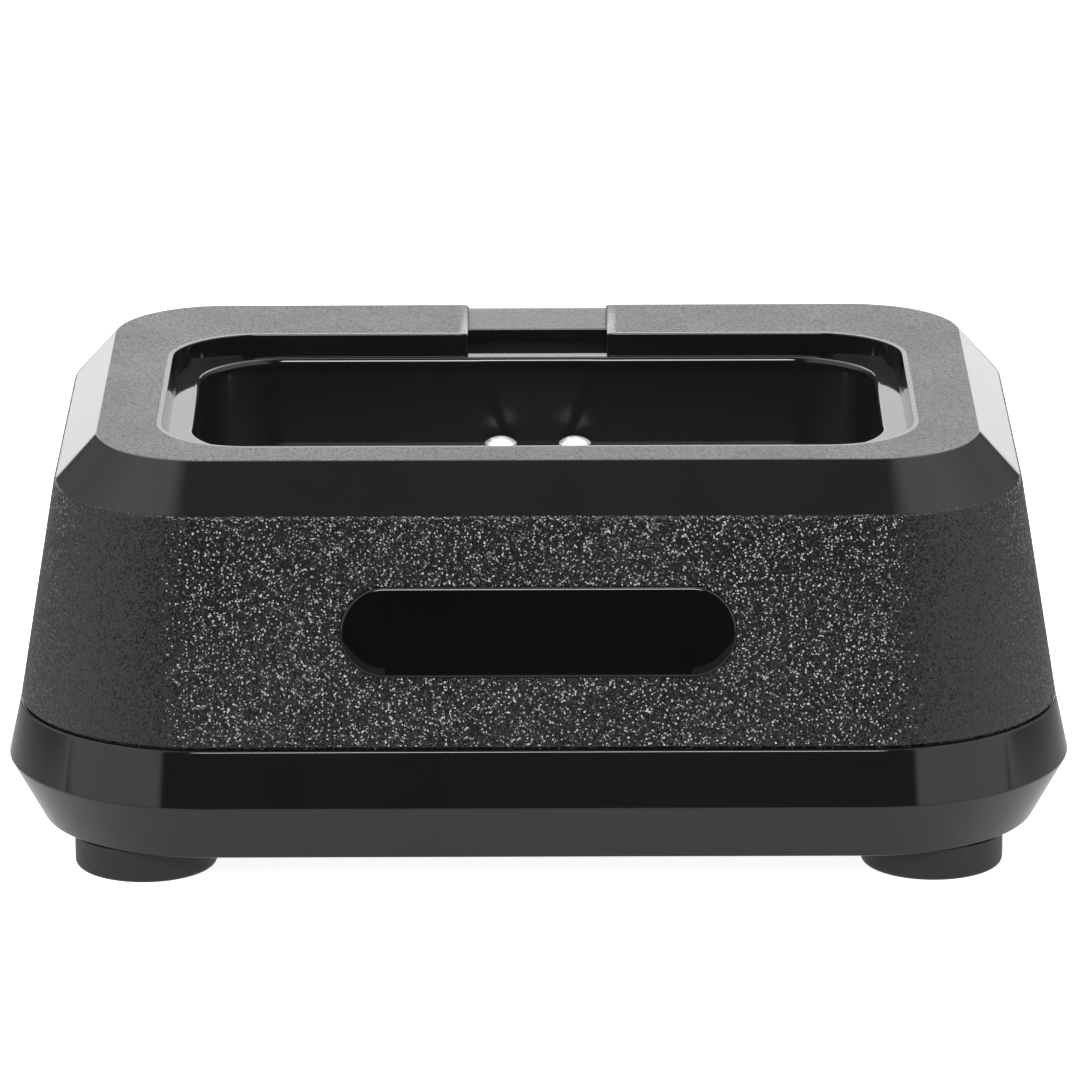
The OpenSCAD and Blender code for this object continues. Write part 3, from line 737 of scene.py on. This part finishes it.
def studio_sky(tree, way):
    """Radiance of the studio by direction: a panel behind, broad light on both sides with a dark gap in
    front, a soft box above and behind, and one small lamp in front."""
    parts = node(tree, "ShaderNodeSeparateXYZ", {0: way})
    x, y, up = parts.outputs
    turn = maths(tree, "ARCTAN2", maths(tree, "ABSOLUTE", x), maths(tree, "MULTIPLY", y, -1.0))
    low = remap(tree, up, math.sin(math.radians(38)), math.sin(math.radians(52)), 1.0, 0.0, smooth=True)
    panel = remap(tree, turn, math.radians(157), math.radians(162), 0.0, 2.0, smooth=True)
    panel = maths(tree, "MULTIPLY", panel, low)
    gap_end = remap(tree, up, 0.3, 0.95, math.radians(29), math.radians(58))
    gap_start = maths(tree, "SUBTRACT", gap_end, remap(tree, up, 0.1, 0.9, math.radians(4), math.radians(30)))
    flank = node(tree, "ShaderNodeMapRange", {0: turn, 1: gap_start, 2: gap_end}, interpolation_type="SMOOTHSTEP")
    fade = remap(tree, turn, math.radians(92), math.radians(155), 1.1, 0.13)
    under_top = remap(tree, up, math.sin(math.radians(64)), math.sin(math.radians(84)), 1.0, 0.0, smooth=True)
    flank = maths(tree, "MULTIPLY", maths(tree, "MULTIPLY", flank.outputs[0], fade), under_top)
    ceiling = remap(tree, up, 0.5, 0.9, 0.02, 0.2)
    light = maths(tree, "ADD", maths(tree, "MAXIMUM", panel, flank), ceiling)
    light = maths(tree, "ADD", light, soft_disc(tree, way, 180, 60, 30, 10, 2.3))
    return maths(tree, "ADD", light, soft_disc(tree, way, 0, 36, 8, 3, 18.0))


def by_ray(tree, for_camera, for_light):
    """One value where the camera looks at it and another where it lights the object."""
    seen = node(tree, "ShaderNodeLightPath").outputs["Is Camera Ray"]
    mix = node(tree, "ShaderNodeMix", None, data_type="FLOAT")
    tree.links.new(seen, mix.inputs[0])
    for socket, value in ((mix.inputs[2], for_light), (mix.inputs[3], for_camera)):
        if isinstance(value, bpy.types.NodeSocket):
            tree.links.new(value, socket)
        else:
            socket.default_value = value
    return mix.outputs[0]


def studio_light():
    world = bpy.data.worlds.new("studio")
    bpy.context.scene.world = world
    world.use_nodes = True
    tree = world.node_tree
    tree.nodes.clear()
    way = node(tree, "ShaderNodeTexCoord").outputs["Generated"]
    strength = by_ray(tree, 1.0, studio_sky(tree, way))
    backdrop = node(tree, "ShaderNodeBackground", {"Color": (1, 1, 1, 1), "Strength": strength})
    out = node(tree, "ShaderNodeOutputWorld")
    tree.links.new(backdrop.outputs[0], out.inputs["Surface"])


def pale_floor():
    """Wide plain floor, lit more strongly in front of the object than behind it."""
    bpy.ops.mesh.primitive_circle_add(vertices=96, radius=3.0, fill_type="NGON")
    floor = bpy.context.object
    floor.name = "floor"
    made, tree, shader = new_material("pale_floor")
    depth = node(tree, "ShaderNodeSeparateXYZ", {0: place(tree)}).outputs[1]
    front = remap(tree, depth, -0.085, -0.06, 0.0, 0.7, smooth=True)
    near = maths(tree, "MULTIPLY", front, remap(tree, depth, -0.03, 0.05, 1.0, 0.04, smooth=True))
    far = remap(tree, depth, 0.2, 0.32, 0.0, 1.3, smooth=True)
    shade = by_ray(tree, 0.82, 0.15)
    tree.links.new(shade, shader.inputs["Base Color"])
    tree.links.new(by_ray(tree, 0.9, maths(tree, "ADD", near, far)), shader.inputs["Emission Strength"])
    shader.inputs["Roughness"].default_value = 0.9
    shader.inputs["Specular IOR Level"].default_value = 0.0
    shader.inputs["Emission Color"].default_value = (1, 1, 1, 1)
    floor.data.materials.append(made)


def photo_camera():
    elevation = math.radians(16.5)
    distance = 0.678
    aim = Vector((0.00017, 0, 0.02155))
    lens = bpy.data.cameras.new("camera")
    lens.lens = 260.7
    lens.clip_start = 0.05
    lens.clip_end = 20
    camera = bpy.data.objects.new("camera", lens)
    bpy.context.scene.collection.objects.link(camera)
    camera.location = (0, -distance * math.cos(elevation), 0.0204 + distance * math.sin(elevation))
    look = (aim - camera.location).to_track_quat("-Z", "Y").to_matrix().to_4x4()
    camera.matrix_world = Matrix.Translation(camera.location) @ look @ Matrix.Rotation(math.radians(-0.17), 4, "Z")
    bpy.context.scene.camera = camera


# ---- Scene ----

upper_shell()
front_badge()
well_tub()
base_shell()
foot_rubber = moulded("foot_rubber", (0.01, 0.01, 0.011), 0.5, 0.3, 0.012)
for row, side_y in (("front", -1), ("rear", 1)):
    for column, side_x in (("left", -1), ("right", 1)):
        rubber_foot(f"foot_{row}_{column}", side_x * foot_x, side_y * foot_y, foot_rubber)
pin_metal = drawn_metal("contact_plate", (0.97, 0.97, 0.96), 0.5)
coil_steel = drawn_metal("spring_wire", (0.6, 0.6, 0.6), 0.25)
for name, side in (("left", -1), ("right", 1)):
    contact_pin(name, side * contact_x, pin_metal)
    contact_coil(name, side * contact_x, coil_steel)
dress_cad_nodes()
studio_light()
pale_floor()
photo_camera()
bpy.context.scene.view_settings.view_transform = "Standard"
